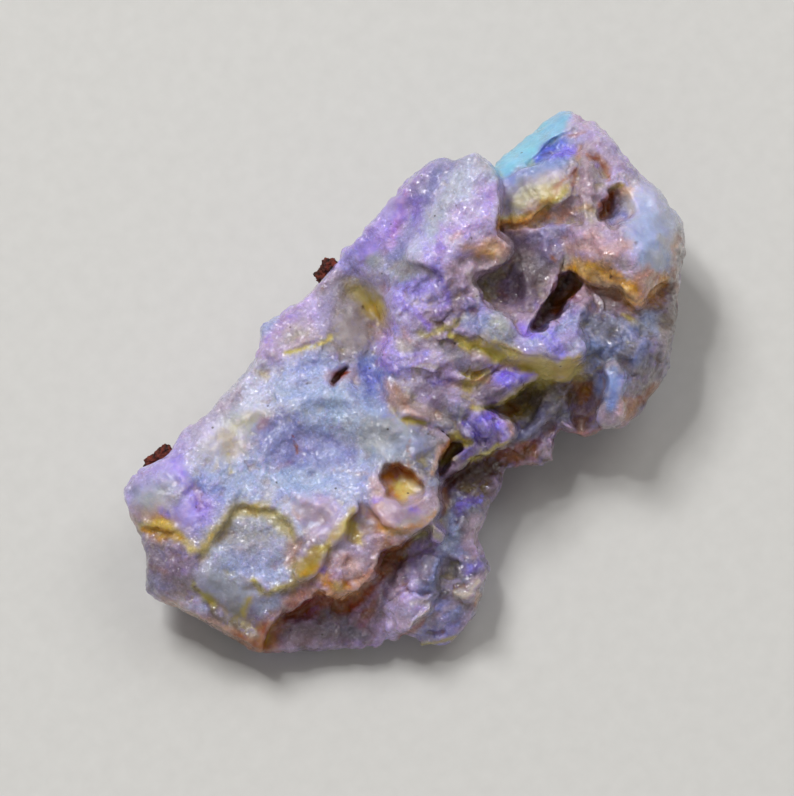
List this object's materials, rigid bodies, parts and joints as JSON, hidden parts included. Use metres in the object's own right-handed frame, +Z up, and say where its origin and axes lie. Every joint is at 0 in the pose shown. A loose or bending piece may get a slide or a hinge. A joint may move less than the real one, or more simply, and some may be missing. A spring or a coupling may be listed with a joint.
{
  "type": "rough opal",
  "caption": "Rough piece of pale precious opal: a slab with a folded wing, a hollowed head and a low foot, lying on its flattest side.",
  "frame": {"origin": "on the resting plane, under the middle of the stone's box", "axes": "+X along the stone's longest way, from the slab's tip towards the head; +Z up, away from the face that it rests on; +Y towards the steep back"},
  "size_m": [0.046, 0.0264, 0.0155],
  "materials": {
    "opal": "wet-looking gloss over milky pale opal with violet, blue and yellow patches"
  },
  "bodies": {
    "root": {"opal": "opal"}
  },
  "joints": []
}
